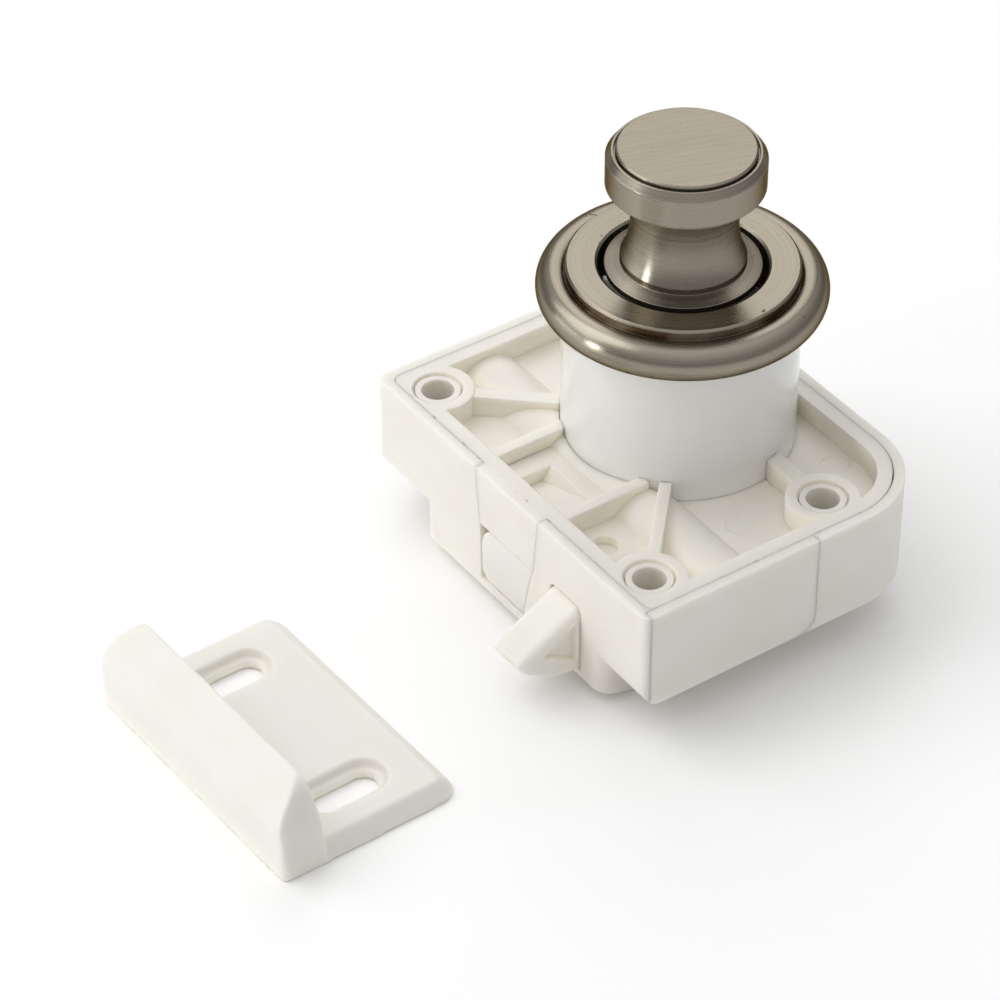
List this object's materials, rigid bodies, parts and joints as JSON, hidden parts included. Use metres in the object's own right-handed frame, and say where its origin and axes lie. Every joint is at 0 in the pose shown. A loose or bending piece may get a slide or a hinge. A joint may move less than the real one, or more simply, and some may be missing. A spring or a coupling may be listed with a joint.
{
  "type": "pushbutton latch",
  "caption": "Pushbutton cabinet latch: plastic case with a sprung slanted bolt, nickel pull knob that stays in when pressed, door sleeve, rosette and a separate strike plate.",
  "frame": {"origin": "on the button's axis, in the plane of the door's inner face", "axes": "+Z along the button and out through the door, -Y the way the bolt points, +X to the right seen from the bolt"},
  "size_m": [0.0505, 0.0832, 0.0517],
  "materials": {
    "case_plastic": "moulded, satin",
    "sleeve_plastic": "glossy",
    "bolt_plastic": "moulded, satin",
    "slider_plastic": "moulded, smooth",
    "nickel": "brushed nickel plating",
    "steel": "drawn"
  },
  "bodies": {
    "base": {"housing": "case_plastic", "side_panel": "case_plastic", "front_plate": "case_plastic", "door_sleeve": "sleeve_plastic", "rosette": "nickel", "cross_shaft": "steel", "plunger_spring": "steel", "follower_spring_left": "steel", "follower_spring_right": "steel", "bolt_spring_left": "steel", "bolt_spring_right": "steel", "strike_plate": "bolt_plastic"},
    "button": {"push_knob": "nickel", "knob_screw": "steel", "plunger": "slider_plastic"},
    "bolt": {"latch_bolt": "bolt_plastic"},
    "follower": {"cam_follower": "slider_plastic", "follower_pin": "steel"}
  },
  "joints": [
    {"name": "button_press", "type": "slide", "parent": "base", "child": "button", "axis": [0, 0, 1], "range_m": [-0.0145, 0], "stiffness_N_per_m": 200, "springref_m": 0.012, "deforming": ["plunger_spring"]},
    {"name": "bolt_slide", "type": "slide", "parent": "base", "child": "bolt", "axis": [0, 1, 0], "range_m": [0, 0.006], "stiffness_N_per_m": 200, "springref_m": -0.008, "deforming": ["bolt_spring_left", "bolt_spring_right"]},
    {"name": "follower_shift", "type": "slide", "parent": "base", "child": "follower", "axis": [1, 0, 0], "range_m": [-0.00265, 0], "stiffness_N_per_m": 40, "springref_m": 0.0005, "deforming": ["follower_spring_left", "follower_spring_right"]}
  ]
}
